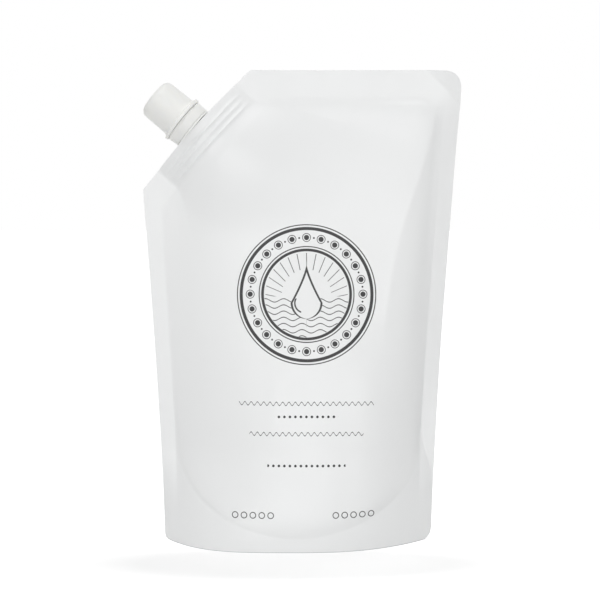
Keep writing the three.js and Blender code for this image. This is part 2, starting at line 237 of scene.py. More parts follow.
def half_depth(x, z):
    """Half the pouch's depth, front to back."""
    wide = half_width(z)
    roundness = np.where(x < 0, BASE_LEFT_POWER, BASE_RIGHT_POWER)
    lens = BASE_HALF_DEPTH * np.maximum(1 - (np.abs(x) / wide) ** roundness, 0)
    up = np.clip(z / SEAL_TOP, 0, 1)
    out = np.minimum(np.abs(x) / (wide - SIDE_SEAL), 1)
    crown = BULGE_HALF_DEPTH * (1 - up**2) ** BULGE_POWER * (1 - out**ACROSS_POWER)
    hip = SHOULDER_HIP * (shoulder_place(x, z)[1] - SHOULDER_SEAL)
    safe_crown, safe_hip = np.maximum(crown, 1e-6), np.maximum(hip, 1e-6)
    panel = (safe_crown**-HIP_SHARPNESS + safe_hip**-HIP_SHARPNESS) ** (-1 / HIP_SHARPNESS)
    above = np.maximum(z - base_seal_z(x), 0)
    puff = SEAL_PUFF * (1 - np.exp(-above / BASE_SEAL)) * np.exp(-above / FOLD_HEIGHT)
    body = mix(lens, panel, ramp(z / FOLD_HEIGHT))
    body = body + puff * ramp((wide - np.abs(x)) / SIDE_SEAL - 1)
    boat = boat_bulge(x, z)
    overlap = np.maximum(body, 0) * boat
    together = np.hypot(body - boat, overlap / (1 + overlap / 2))
    return np.maximum((body + boat + together) / 2, FILM_PAIR / 2)


# The skin's net: how many steps along each run of the edge, and across the seals
LEFT_STEPS = 110
SHOULDER_STEPS = 84
ACROSS_STEPS = 140
SEAL_ROWS = 24
BASE_TURN = math.pi / 3.4

# How many points a run is drawn with before it is spaced evenly
SIDE_POINTS = 49
CORNER_POINTS = 25
CURVE_POINTS = 97
BOW_POINTS = 65
SEARCH_POINTS = 4001


def spaced(run, steps):
    """Evenly spaced points along a run of points."""
    run = np.asarray(run, float)
    gaps = np.hypot(*np.diff(run, axis=0).T)
    run = run[np.concatenate([[True], gaps > 1e-6])]
    length = np.concatenate([[0], np.cumsum(np.hypot(*np.diff(run, axis=0).T))])
    at = np.linspace(0, length[-1], steps + 1)
    return np.stack([np.interp(at, length, run[:, k]) for k in (0, 1)], axis=1)


def side_run(side, inset, z_from, z_to):
    z = np.linspace(z_from, z_to, SIDE_POINTS)
    return np.stack([side * (half_width(z) - inset), z], axis=1)


def corner_arc(start, corner, end):
    """A round corner of the outline, as its first and its second half."""
    t = np.linspace(0, 1, CORNER_POINTS)[:, None]
    start, corner, end = (np.array(p, float) for p in (start, corner, end))
    bent = start * (1 - t) ** 2 + 2 * corner * t * (1 - t) + end * t**2
    middle = CORNER_POINTS // 2
    return bent[:middle + 1], bent[middle:]


def seal_curve(angle_from, angle_to):
    """The base seal's curve, by the angle from its lowest point."""
    angle = np.linspace(angle_from, angle_to, CURVE_POINTS)
    power = 2 / FOLD_CURVE
    across = np.abs(np.sin(angle)) ** power * np.sign(angle)
    down = np.abs(np.cos(angle)) ** power
    z = FOLD_HEIGHT - down * (FOLD_HEIGHT - BASE_SEAL)
    return np.stack([across * CURVE_HALF_WIDTH, z], axis=1)


def shoulder_run(start, end, bow):
    """The shoulder's edge, bowed out a little where the spout stretches it."""
    t = np.linspace(0, 1, BOW_POINTS)[:, None]
    return start + (end - start) * t - INWARD * bow * 4 * t * (1 - t)


def skin_loops():
    """The pouch's edge and its seals' inner edge, as two lists of runs that match point for point.

    Each goes up the left side, over the shoulder, along the top, down the right side and back
    along the base."""
    foot_w, left, right = half_width(0), LEFT_FOOT_RADIUS, RIGHT_FOOT_RADIUS
    foot_l = corner_arc((left - foot_w, 0), (-foot_w, 0), (-half_width(left), left))
    foot_r = corner_arc((half_width(right), right), (foot_w, 0), (foot_w - right, 0))
    top_w, low_z = half_width(HEIGHT), HEIGHT - TOP_CORNER_RADIUS
    corner_start, corner_end = (top_w - TOP_CORNER_RADIUS, HEIGHT), (half_width(low_z), low_z)
    corner = corner_arc(corner_start, (top_w, HEIGHT), corner_end)
    heights = np.linspace(FOLD_HEIGHT, HEIGHT, SEARCH_POINTS)
    inset = shoulder_place(SIDE_SEAL - half_width(heights), heights)[1] - SHOULDER_SEAL
    meet = heights[np.argmin(np.abs(inset))]
    inner_foot = np.array([SIDE_SEAL - half_width(meet), meet])
    inner_top = CREST + INWARD * SHOULDER_SEAL
    inner_top = inner_top + ALONG * (SEAL_TOP - inner_top[1]) / ALONG[1]
    inner_right = np.array([half_width(SEAL_TOP) - SIDE_SEAL, SEAL_TOP])
    right_steps = LEFT_STEPS + SHOULDER_STEPS
    quarter = math.pi / 2
    edge = [
        spaced(np.vstack([foot_l[1], side_run(-1, 0, left, FOOT[1])]), LEFT_STEPS),
        spaced(shoulder_run(FOOT, CREST, SHOULDER_BOW), SHOULDER_STEPS),
        spaced(np.vstack([[CREST], corner[0]]), ACROSS_STEPS),
        spaced(np.vstack([corner[1], side_run(1, 0, low_z, right), foot_r[0]]), right_steps),
        spaced(np.vstack([foot_r[1], foot_l[0]]), ACROSS_STEPS),
    ]
    arm_l, arm_r = seal_curve(-BASE_TURN, -quarter), seal_curve(quarter, BASE_TURN)
    seal = [
        spaced(np.vstack([arm_l, side_run(-1, SIDE_SEAL, FOLD_HEIGHT, meet)]), LEFT_STEPS),
        spaced([inner_foot, inner_top], SHOULDER_STEPS),
        spaced([inner_top, inner_right], ACROSS_STEPS),
        spaced(np.vstack([side_run(1, SIDE_SEAL, SEAL_TOP, FOLD_HEIGHT), arm_r]), right_steps),
        spaced(seal_curve(BASE_TURN, -BASE_TURN), ACROSS_STEPS),
    ]
    return edge, seal


def panel_net(seal):
    """A net of points over the panel inside the seals, blended from its four edges."""
    left = np.vstack([seal[0], seal[1][1:]])
    right, top, base = seal[3][::-1], seal[2], seal[4][::-1]
    v = np.linspace(0, 1, len(left))[:, None, None]
    u = np.linspace(0, 1, len(top))[None, :, None]
    net = left[:, None] * (1 - u) + right[:, None] * u + base[None] * (1 - v) + top[None] * v
    base_corners = base[0] * (1 - u) + base[-1] * u
    top_corners = top[0] * (1 - u) + top[-1] * u
    return net - mix(base_corners, top_corners, v)


# Creases, dents and soft forms of the film


class Streak(NamedTuple):
    """A crease or soft fold: the places (x, z) that it climbs through, how far it stands out, its
    width, and how far it fades over its ends. A sharp one has a crease for its crest."""
    places: tuple
    rise: float
    width: float
    fade: float
    sharp: bool = False

    def at(self, x, z):
        xs, zs = np.array(self.places, float).T
        line = sum(np.interp(z + step, zs, xs) for step in STREAK_SMOOTHING) / len(STREAK_SMOOTHING)
        lean = np.hypot(1, (xs[-1] - xs[0]) / (zs[-1] - zs[0]))
        off = (x - line) / lean / self.width
        ends = ramp((z - zs[0]) / self.fade + 0.5) * ramp((zs[-1] - z) / self.fade + 0.5)
        crest = np.exp(-np.hypot(off, CREASE_ROUNDING) * CREASE_FALL) if self.sharp else bell(off)
        return self.rise * crest * ends


class Spot(NamedTuple):
    """A round bump, or a dent where it falls: its place (x, z), how far it rises, and its radius."""
    place: tuple
    rise: float
    radius: float

    def at(self, x, z):
        return self.rise * bell(np.hypot(x - self.place[0], z - self.place[1]) / self.radius)


class Ripple(NamedTuple):
    """Soft waves all over a panel: how far they rise, and their lengths across, aslant and up."""
    rise: float
    across: float
    aslant: float
    up: float
    shift: float

    def at(self, x, z):
        return self.rise * np.sin(x / self.across + z / self.aslant) * np.sin(z / self.up + self.shift)


STREAK_SMOOTHING = (-6, -3, 0, 3, 6)
CREASE_ROUNDING = 0.12
CREASE_FALL = 1.4

# The front film: the long ridge on the right and the hollow beside it, the fold below them, the
# middle's soft line, the left side's hollow and the fold under the shoulder
FRONT_DENTS = (
    Streak(((41.5, 105), (44.5, 128), (49.5, 151), (56.5, 171), (63.0, 190), (66.5, 206)),
           rise=0.6, width=5.0, fade=30, sharp=True),
    Streak(((57.5, 105), (61.0, 128), (63.5, 151), (65.5, 171), (67.5, 186)),
           rise=-0.5, width=4.0, fade=30),
    Streak(((36, 18), (36, 50), (35, 84)), rise=1.2, width=10.0, fade=30),
    Streak(((-10.4, 50), (-9.5, 92)), rise=0.4, width=5.0, fade=24),
    Streak(((-52, 70), (-57, 120), (-58, 160)), rise=-0.4, width=6.0, fade=40),
    Streak(((-44, 150), (-36, 186), (-22, 208)), rise=0.3, width=4.5, fade=24),
    Spot((12, 190), rise=-0.3, radius=16),
    Spot((-22, 178), rise=0.25, radius=13),
    Ripple(rise=0.2, across=13, aslant=41, up=23, shift=0.8),
)
BACK_DENTS = (
    Streak(((-30, 96), (-41, 140), (-52, 172)), rise=0.7, width=6.0, fade=30, sharp=True),
    Spot((24, 150), rise=-0.8, radius=20),
    Ripple(rise=0.3, across=15, aslant=-37, up=25, shift=0),
)

# The small marks at the base's two ends, where front and back are tacked together
TACKS = (Spot((-63.9, 15.5), rise=0.2, radius=1.7), Spot((62.9, 17.0), rise=0.2, radius=1.7))

# Both films' lean: waves along the top edge, given by rise, length and shift, a wave up the right
# side, a top right corner bent back, and a right seal turned back
TOP_WAVES = ((0.5, 17, 0.6), (0.3, 8.5, 2))
SIDE_WAVE = 0.35
SIDE_WAVE_LENGTH = 13
CORNER_BEND = 0.22
CORNER_BEND_POWER = 1.4
TURNED_WIDTH = 9
TURNED_SLOPE = 0.2


def film_sway(x, z):
    """How far both films lean out of the pouch's middle plane."""
    wave = sum(rise * np.sin(x / length + shift) for rise, length, shift in TOP_WAVES)
    past_corner = (x - 70) * 0.7 + (z - 219) * 0.7
    bent = CORNER_BEND * np.maximum(past_corner, 0) ** CORNER_BEND_POWER
    side = SIDE_WAVE * np.sin(z / SIDE_WAVE_LENGTH) * ramp((x - 60) / 12) * ramp(z / 60)
    in_seal = np.maximum(x - half_width(z) + TURNED_WIDTH, 0)
    turned_back = TURNED_SLOPE * in_seal * ramp((z - 40) / 40) * ramp((222 - z) / 30)
    return wave * ramp((z - 150) / 80) + bent + side + turned_back


def keep_thick(half, soft):
    """Half a depth that never goes below the film's own thickness, with a soft landing."""
    spare = half - FILM_PAIR / 2
    return FILM_PAIR / 2 + (spare + np.hypot(spare, soft)) / 2


# How soon the dents begin inside the seals
SEAL_FADE = 6
SIDE_FADE = 5


def panel_only(x, z):
    """1 on the filled panel, 0 on the seals round it."""
    side = ramp((half_width(z) - SIDE_SEAL - np.abs(x)) / SIDE_FADE)
    ends = ramp((SEAL_TOP - z) / SEAL_FADE) * ramp((z - base_seal_z(x)) / SEAL_FADE)
    return side * ends * ramp((shoulder_place(x, z)[1] - SHOULDER_SEAL) / SEAL_FADE)


# How the panels stand up from the seals: the front's and back's heights, the round of the top right
# corner, the widths of the rise at that corner, by the left seal and by the shoulder
FRONT_PILLOW = 1.3
BACK_PILLOW = 1.0
PILLOW_CORNER = 16
PILLOW_CORNER_WIDTH = 6
PILLOW_LEFT_WIDTH = 15
PILLOW_SHOULDER_WIDTH = 10
PILLOW_POWER = 1.6
RIGHT_EXTRA = 0.8


def pillow(x, z):
    """1 where the panel has risen from the seals round it, steeply by the top and right ones."""
    def rise(distance, width):
        return 1 - np.exp(-(np.maximum(distance, 0) / width) ** PILLOW_POWER)

    inside = half_width(z) - SIDE_SEAL
    to_right = np.maximum(PILLOW_CORNER - (inside - x), 0)
    to_top = np.maximum(PILLOW_CORNER - (SEAL_TOP - z), 0)
    from_corner = rise(PILLOW_CORNER - np.hypot(to_right, to_top), PILLOW_CORNER_WIDTH)
    from_left = rise(inside + x, PILLOW_LEFT_WIDTH)
    from_shoulder = rise(shoulder_place(x, z)[1] - SHOULDER_SEAL, PILLOW_SHOULDER_WIDTH)
    return from_corner * from_left * from_shoulder * ramp((z - 25) / 60)


# The right half's fullness: its rise, the crown over which it comes in, and its fall to the seal
FULL_RISE = 6.4
FULL_CROWN = 5
FULL_EDGE_POWER = 8


def full_right(x, z):
    """The panel's right half stays full towards its seal, then rolls off."""
    crown = BULGE_HALF_DEPTH * (1 - np.clip(z / SEAL_TOP, 0, 1) ** 2) ** BULGE_POWER
    out = np.clip(x / (half_width(z) - SIDE_SEAL * ramp((z - 25) / 30)), 0, 1)
    across = out**ACROSS_POWER - out**FULL_EDGE_POWER
    return FULL_RISE * (1 - np.exp(-crown / FULL_CROWN)) * across * ramp((z + 4) / 28)


# The swell over the base seal: its rise, how far above the seal it comes in and dies away, and how
# far from the middle it begins and over what width it fills
SWELL_RISE = 1.1
SWELL_STEP = 3
SWELL_REACH = 16
SWELL_FROM = 20
SWELL_WIDTH = 26


def base_swell(x, z):
    """How the panel swells over the base seal, steepest right above the seal's curve."""
    beside = np.minimum(np.abs(x), CURVE_HALF_WIDTH - 0.6)
    climb = base_seal_z(beside + 0.5) - base_seal_z(np.maximum(beside - 0.5, 0))
    above = np.maximum(z - base_seal_z(beside), 0) / np.hypot(1, climb)
    swell = (1 - np.exp(-above / SWELL_STEP)) * np.exp(-above / SWELL_REACH)
    in_panel = ramp((90 - z) / 45) * ramp((half_width(z) - SIDE_SEAL - np.abs(x)) / 3)
    return SWELL_RISE * swell * ramp((beside - SWELL_FROM) / SWELL_WIDTH) * in_panel


# The small puckers over the base seal
PUCKER = 0.1
PUCKER_REACH = 7
PUCKER_LENGTH = 3.1
PUCKER_WANDER = 0.8


def puckers(x, z):
    """Short upright folds that die away above the base seal."""
    wander = PUCKER_WANDER * np.sin(x / PUCKER_REACH)
    fall = np.exp(-np.maximum(z - base_seal_z(x), 0) / PUCKER_REACH)
    return PUCKER * fall * np.sin(x / PUCKER_LENGTH + wander)


def front_dents(x, z):
    """How far the front film stands out over the plain bulge, in millimetres."""
    rise = FRONT_PILLOW * pillow(x, z) * (1 + RIGHT_EXTRA * ramp((x - 30) / 25))
    rise = rise + sum(dent.at(x, z) for dent in FRONT_DENTS) + puckers(x, z)
    tacks = sum(tack.at(x, z) for tack in TACKS)
    return rise * panel_only(x, z) + full_right(x, z) + base_swell(x, z) + tacks


def back_dents(x, z):
    """How far the back film stands out over the plain bulge, in millimetres."""
    rise = BACK_PILLOW * pillow(x, z) + sum(dent.at(x, z) for dent in BACK_DENTS)
    return rise * panel_only(x, z)


# The folded base under the pouch
FOLD_REACH = 62.4
FOLD_STEPS = 34
FOLD_SPARE = 0.4
FOLD_DROP = 0.25
SKIRT_STEPS = 8
THINNEST_HALF = 0.06
REST_HEIGHT = 0.05
WIDEST_REST = 0.8

# How softly the panel lands on its seals
SEAL_LANDING = 0.6


def pouch_mesh():
    """Points and faces of the pouch's whole skin, in millimetres."""
    edge, seal = skin_loops()
    edge_loop = np.vstack([run[:-1] for run in edge])
    seal_loop = np.vstack([run[:-1] for run in seal])
    net = panel_net(seal)
    rows, columns = net.shape[:2]
    around = len(edge_loop)
    steps = np.linspace(0, 1, SEAL_ROWS + 1)[:-1]
    rings = [mix(edge_loop, seal_loop, t) for t in steps]
    flat = np.vstack(rings + [net.reshape(-1, 2)])
    x, z = flat.T
    base = SEAL_ROWS * around
    index = base + np.arange(rows * columns).reshape(rows, columns)
    inner = np.concatenate([index[:-1, 0], index[-1, :-1], index[1:, -1][::-1], index[0, 1:][::-1]])
    ring_index = [k * around + np.arange(around) for k in range(SEAL_ROWS)] + [inner]
    faces = []
    for outside, inside in zip(ring_index[:-1], ring_index[1:]):
        faces.append(np.stack([outside, inside, np.roll(inside, -1), np.roll(outside, -1)], axis=1))
    net_faces = [index[:-1, :-1], index[:-1, 1:], index[1:, 1:], index[1:, :-1]]
    faces.append(np.stack([f.ravel() for f in net_faces], axis=1))
    front_faces = np.vstack(faces)
    middle = film_sway(x, z)
    half = half_depth(x, z)
    soft = SEAL_LANDING * panel_only(x, z)
    front = np.stack([x, middle - keep_thick(half + front_dents(x, z), soft), z], axis=1)
    back = np.stack([x, middle + keep_thick(half + back_dents(x, z), soft), z], axis=1)
    count = len(flat)
    points = [front, back]
    all_faces = [front_faces.tolist(), (front_faces[:, ::-1] + count).tolist()]
    rim = np.arange(around)
    base_start = around - ACROSS_STEPS
    open_edge = [i for i in rim if i > base_start and abs(edge_loop[i, 0]) < FOLD_REACH]
    first, last = open_edge[0], open_edge[-1]
    shut = [i for i in rim if not first <= i < last]
    all_faces.append([[i, (i + 1) % around, (i + 1) % around + count, i + count] for i in shut])
    fold_points, fold_faces = base_fold(front[open_edge], back[open_edge], 2 * count, open_edge, count)
    points.append(fold_points)
    all_faces.append(fold_faces)
    return np.vstack(points), [face for group in all_faces for face in group]


def base_fold(front, back, start, rim, back_start):
    """The inside of the skirts and the folded base between them, a column for each rim point."""
    columns = []
    for (x, front_y, _), (_, back_y, _) in zip(front, back):
        rim_z = float(base_seal_z(x))
        while half_depth(x, rim_z) < SKIRT_WALL + FOLD_SPARE:
            rim_z -= FOLD_DROP
        rim_z -= SKIRT_WALL
        walls = []
        for z in np.linspace(0, rim_z, SKIRT_STEPS + 1):
            walls.append((x, max(float(half_depth(x, z)) - SKIRT_WALL, THINNEST_HALF), z))
        wall_top = walls[-1][1]
        along = abs(x) / REST_LENGTH
        flat = min(REST_WIDTH / wall_top * math.sqrt(max(1 - along**2, 0)), WIDEST_REST)
        climb = ramp((along - 1) / (FOLD_REACH / REST_LENGTH - 1))
        folds = []
        for across in np.linspace(-1, 1, FOLD_STEPS + 1)[1:-1]:
            swing = ramp((abs(across) - flat) / (1 - flat))
            z = mix(mix(REST_HEIGHT, FOLD_RISE * rim_z, climb), rim_z, swing)
            folds.append((x, across * wall_top, z))
        middle = (front_y + back_y) / 2
        front_wall = [(px, middle - py, pz) for px, py, pz in walls]
        back_wall = [(px, middle + py, pz) for px, py, pz in reversed(walls)]
        columns.append(front_wall + folds + back_wall)
    height = len(columns[0])
    back_rim = [i + back_start for i in rim]
    faces = []
    for k in range(len(columns) - 1):
        here, there = start + k * height, start + (k + 1) * height
        faces.append([rim[k], rim[k + 1], there, here])
        for i in range(height - 1):
            faces.append([here + i, there + i, there + i + 1, here + i + 1])
        faces.append([here + height - 1, there + height - 1, back_rim[k + 1], back_rim[k]])
    first_column = range(start, start + height)
    last_column = range(start + (len(columns) - 1) * height, start + len(columns) * height)
    faces.append([rim[0], *first_column, back_rim[0]])
    faces.append([back_rim[-1], *reversed(last_column), rim[-1]])
    return np.array([p for column in columns for p in column]), faces


# Making and placing pieces


def in_scene(name, data):
    """A new object for a mesh, a lamp or a camera, linked into the scene."""
    made = bpy.data.objects.new(name, data)
    bpy.context.scene.collection.objects.link(made)
    return made


def select_none():
    bpy.ops.object.select_all(action="DESELECT")


def select_only(piece):
    select_none()
    piece.select_set(True)
    bpy.context.view_layer.objects.active = piece


def edit():
    bpy.ops.object.mode_set(mode="EDIT")


def stop_editing():
    bpy.ops.object.mode_set(mode="OBJECT")


def select_mesh(action="SELECT"):
    bpy.ops.mesh.select_all(action=action)


def apply_place():
    """Takes the active piece's place, turn and scale into its mesh."""
    bpy.ops.object.transform_apply(location=True, rotation=True, scale=True)


def turned_copy(piece, angle):
    """A copy of a piece with its own mesh, turned round the spout's axis."""
    select_only(piece)
    bpy.ops.object.duplicate()
    copy = bpy.context.active_object
    copy.rotation_euler = (0, 0, angle)
    apply_place()
    return copy


def smooth(piece, degrees):
    select_only(piece)
    bpy.ops.object.shade_smooth_by_angle(angle=math.radians(degrees))


def settle(piece, slot, body, *nodes):
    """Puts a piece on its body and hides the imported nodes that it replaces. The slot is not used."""
    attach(piece, body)
    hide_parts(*nodes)


# The spout's own frame: its axis is +Z, outwards, and its foot is on the film's edge
SPOUT_TURN = -math.atan2(ALONG[1], ALONG[0]) - math.radians(SPOUT_LEAN)
SPOUT_X, SPOUT_Z = (MIDDLE + ALONG * SPOUT_OFFSET) * MM
SPOUT_PLACE = Matrix.Translation((SPOUT_X, 0, SPOUT_Z)) @ Matrix.Rotation(SPOUT_TURN, 4, "Y")


def place_on_spout(piece):
    """Moves a finished piece's mesh from the spout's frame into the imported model's."""
    select_only(piece)
    piece.matrix_world = SPOUT_PLACE @ Matrix.Diagonal((MM, MM, MM, 1))
    apply_place()


WELD_REACH = 0.001


def turned(name, stations):
    """A round piece drawn ring by ring: a circle is extruded and resized through the stations,
    each a radius and a height, and the last ring is bridged back to the first."""
    select_none()
    first, start = stations[0]
    bpy.ops.mesh.primitive_circle_add(vertices=ROUND_STEPS, radius=first, location=(0, 0, 0))
    piece = bpy.context.active_object
    piece.name = name
    piece.data.name = name
    edit()
    select_mesh()
    bpy.ops.transform.translate(value=(0, 0, start))
    radius, height = first, start
    for wide, up in stations[1:]:
        bpy.ops.mesh.extrude_edges_move(TRANSFORM_OT_translate={"value": (0, 0, up - height)})
        grow = wide / radius
        bpy.ops.transform.resize(value=(grow, grow, 1), center_override=(0, 0, up))
        radius, height = wide, up
    select_mesh("DESELECT")
    stop_editing()
    last_ring = len(piece.data.vertices) - ROUND_STEPS
    for edge in piece.data.edges:
        in_first = max(edge.vertices) < ROUND_STEPS
        in_last = min(edge.vertices) >= last_ring
        if in_first or in_last:
            edge.select = True
    edit()
    bpy.ops.mesh.select_mode(type="EDGE")
    bpy.ops.mesh.bridge_edge_loops()
    select_mesh()
    bpy.ops.mesh.remove_doubles(threshold=WELD_REACH)
    bpy.ops.mesh.normals_make_consistent(inside=False)
    stop_editing()
    return piece


def arc(centre, radius, start, end, steps):
    """Stations on a round corner, its angles in degrees from straight out."""
    turn = [math.radians(mix(start, end, i / steps)) for i in range(steps + 1)]
    return [(centre[0] + radius * math.cos(a), centre[1] + radius * math.sin(a)) for a in turn]


def apply_modifier(piece, kind, **settings):
    select_only(piece)
    made = piece.modifiers.new(kind.lower(), kind)
    for name, value in settings.items():
        setattr(made, name, value)
    bpy.ops.object.modifier_apply(modifier=made.name)


def in_edit_mode(piece):
    """Opens a piece for editing with no vertex selected."""
    select_only(piece)
    edit()
    bpy.ops.mesh.select_mode(type="VERT")
    select_mesh("DESELECT")


def pick(piece, test):
    """Selects the vertices whose place passes a test, with the piece open for editing."""
    stop_editing()
    for vertex in piece.data.vertices:
        vertex.select = test(vertex.co)
    edit()


def helix(name, crest, root, widths, z_from, z_to):
    """A two-start screw thread's ridges: a tapering section is wound up the axis by a screw."""
    deep = abs(crest - root)
    middle = (crest + root) / 2
    foot_width, crest_width = widths
    upright = (math.pi / 2, 0, 0)
    select_none()
    bpy.ops.mesh.primitive_plane_add(size=1, location=(middle, 0, z_from), rotation=upright)
    ridge = bpy.context.active_object
    apply_place()
    in_edit_mode(ridge)
    select_mesh()
    bpy.ops.transform.resize(value=(deep, 1, foot_width), center_override=(middle, 0, z_from))
    pick(ridge, lambda place: (place.x > middle) == (crest > root))
    narrow = crest_width / foot_width
    bpy.ops.transform.resize(value=(1, 1, narrow), center_override=(middle, 0, z_from))
    stop_editing()
    turns = (z_to - z_from) / THREAD_LEAD
    steps = int(ROUND_STEPS / 2 * turns)
    apply_modifier(ridge, "SCREW", axis="Z", angle=2 * math.pi * turns, screw_offset=z_to - z_from,
                   steps=steps, render_steps=steps)
    in_edit_mode(ridge)
    bpy.ops.mesh.select_non_manifold()
    bpy.ops.mesh.fill()
    select_mesh()
    bpy.ops.mesh.normals_make_consistent(inside=False)
    stop_editing()
    return join(name, [ridge, turned_copy(ridge, math.pi)])


def join(name, pieces):
    select_none()
    for piece in pieces:
        piece.select_set(True)
    bpy.context.view_layer.objects.active = pieces[0]
    bpy.ops.object.join()
    whole = bpy.context.active_object
    whole.name = name
    whole.data.name = name
    return whole


def assembled(name, pieces, degrees):
    """One moulding made of pieces in the spout's frame, put in its place and shaded."""
    whole = join(name, pieces)
    place_on_spout(whole)
    smooth(whole, degrees)
    return whole


# Heights that the neck, the band and the cap share
HOOK_Z = BAND_START + HOOK_DEPTH
BEAD_Z = HOOK_Z + HOOK + CLEARANCE
SKIRT_Z = BAND_START + BAND_HEIGHT + TEAR_GAP
CAP_INSIDE_Z = NECK_LENGTH + DISC_HEIGHT + 2 * CLEARANCE
CAP_TOP_Z = CAP_INSIDE_Z + CAP_WALL
FLARE_STEPS = 8
DOME_STEPS = 6


DISC_STEPS = 256


def lens_plate(name, grow, z_from, z_to):
    """A lens-shaped plate of the boat: where two wide discs overlap, with its tips cut blunt."""
    half = BOAT_THICKNESS / 2 + grow
    reach = BOAT_LENGTH / 2 + grow
    rise = half - BOAT_TIP / 2 - grow
    disc_radius = (reach**2 + rise**2) / (2 * rise)
    discs = []
    for side in (-1, 1):
        select_none()
        bpy.ops.mesh.primitive_cylinder_add(
            vertices=DISC_STEPS, radius=disc_radius, depth=z_to - z_from,
            location=(0, side * (disc_radius - half), (z_from + z_to) / 2),
        )
        discs.append(bpy.context.active_object)
        apply_place()
    plate, other = discs
    apply_modifier(plate, "BOOLEAN", operation="INTERSECT", object=other)
    bpy.data.objects.remove(other)
    plate.name = name
    for side in (-1, 1):
        in_edit_mode(plate)
        select_mesh()
        bpy.ops.mesh.bisect(plane_co=(side * reach, 0, 0), plane_no=(side, 0, 0),
                            use_fill=True, clear_outer=True)
        stop_editing()
    return plate


def make_spout():
    """The neck with its bead and thread, and the ribbed boat that is welded between the films."""
    neck_r, bore_r = NECK / 2, BORE / 2
    neck = turned("neck", [
        (bore_r, -BOAT_DEPTH),
        (neck_r, -BOAT_DEPTH),
        (neck_r, BAND_START - COLLAR),
        (COLLAR_RADIUS, BAND_START - COLLAR),
        (COLLAR_RADIUS, BAND_START - COLLAR_GAP),
        (neck_r, BAND_START - COLLAR_GAP),
        (neck_r, BEAD_Z),
        (BEAD / 2 - 0.2, BEAD_Z),
        (BEAD / 2, BEAD_Z + 0.2),
        (neck_r + 0.3, BEAD_Z + BEAD_HEIGHT),
        (neck_r, BEAD_Z + BEAD_HEIGHT + 0.2),
        (neck_r, NECK_LENGTH - NECK_LIP),
        *arc((neck_r - NECK_LIP, NECK_LENGTH - NECK_LIP), NECK_LIP, 0, 90, 4),
        (bore_r + 0.3, NECK_LENGTH),
        (bore_r, NECK_LENGTH - 0.3),
    ])
    thread = helix("thread", neck_r + NECK_THREAD, neck_r - THREAD_SINK, NECK_THREAD_WIDTHS,
                   BEAD_Z + BEAD_HEIGHT + NECK_THREAD_FROM_BEAD, NECK_LENGTH - NECK_THREAD_FROM_END)
    boat = [lens_plate("boat", -RIB_HEIGHT, -BOAT_DEPTH, BOAT_FACE)]
    for depth in BOAT_RIBS:
        boat.append(lens_plate("rib", 0, -depth - RIB_WIDTH / 2, -depth + RIB_WIDTH / 2))
    return assembled("spout_moulding", [neck, thread] + boat, 35)


def make_band():
    """The tamper band with its hook, a thin collar up to the cap and the parted bridges."""
    inside = BAND_TOP / 2 - BAND_WALL
    hook_r = NECK / 2 + CLEARANCE
    top = BAND_START + BAND_HEIGHT
    collar_r = BAND_TOP / 2 - INNER_COLLAR_STEP
    collar_top = SKIRT_Z - INNER_COLLAR_GAP
    band = turned("band", [
        (BAND_FOOT / 2 - BAND_WALL, BAND_START),
        *arc((BAND_FOOT / 2 - 0.4, BAND_START + 0.4), 0.4, -90, 0, 5),
        *arc((BAND_TOP / 2 - 0.3, top - 0.3), 0.3, 0, 90, 5),
        (collar_r, top),
        (collar_r - INNER_COLLAR_TAPER, collar_top),
        (inside, collar_top),
        (inside, HOOK_Z + HOOK),
        (hook_r, HOOK_Z + HOOK),
        (hook_r, HOOK_Z + HOOK / 2),
        (inside, HOOK_Z),
    ])
    reach = (BAND_TOP - BAND_WALL) / 2
    select_none()
    foot_r, tip_r = BRIDGE_RADII
    bpy.ops.mesh.primitive_cone_add(vertices=16, radius1=foot_r, radius2=tip_r, depth=BRIDGE_HEIGHT,
                                    location=(reach, 0, top + BRIDGE_RISE))
    bridge = bpy.context.active_object
    apply_place()
    apply_modifier(bridge, "BEVEL", width=0.06, segments=2)
    copies = [turned_copy(bridge, i * 2 * math.pi / BRIDGES) for i in range(1, BRIDGES)]
    return assembled("tear_band", [band, bridge] + copies, 40)


def make_cap():
    """The cap's shell, flared at its foot and domed on top, and the thread inside it."""
    skirt_top = SKIRT_Z + LIP_HEIGHT
    corner_z = CAP_TOP_Z - CAP_DOME - CAP_CORNER
    bore = CAP_FOOT / 2 - CAP_WALL
    flare = []
    for t in np.linspace(0, 1, FLARE_STEPS + 1)[1:]:
        inwards = 1 - (1 - t) ** 2
        flare.append((mix(LIP / 2 - 0.2, CAP_FOOT / 2, inwards), skirt_top + LIP_FLARE * t * t))
    dome_r = CAP_TOP / 2 - CAP_CORNER
    shares = [1 - i / DOME_STEPS for i in range(1, DOME_STEPS)]
    dome = [(dome_r * share, CAP_TOP_Z - CAP_DOME * share**2) for share in shares]
    shell = turned("cap_shell", [
        (AXIS_HOLE, CAP_INSIDE_Z),
        (bore - 0.5, CAP_INSIDE_Z),
        (bore, CAP_INSIDE_Z - 0.5),
        (bore, skirt_top + LIP_FLARE),
        (CAP_SKIRT_BORE / 2, skirt_top),
        (CAP_SKIRT_BORE / 2, SKIRT_Z),
        *arc((LIP / 2 - 0.5, SKIRT_Z + 0.5), 0.5, -90, 0, 5),
        *arc((LIP / 2 - 0.5, skirt_top - 0.5), 0.5, 0, 60, 4),
        *flare,
        *arc((dome_r, corner_z), CAP_CORNER, 0, 90, 14),
        *dome,
        (AXIS_HOLE, CAP_TOP_Z),
    ])
    thread_start = skirt_top + LIP_FLARE + CAP_THREAD_FROM_FLARE
    thread = helix("cap_thread", bore - CAP_THREAD, bore + THREAD_SINK, CAP_THREAD_WIDTHS,
                   thread_start, CAP_INSIDE_Z - CAP_THREAD_FROM_TOP)
    return assembled("screw_cap", [shell, thread], 40)


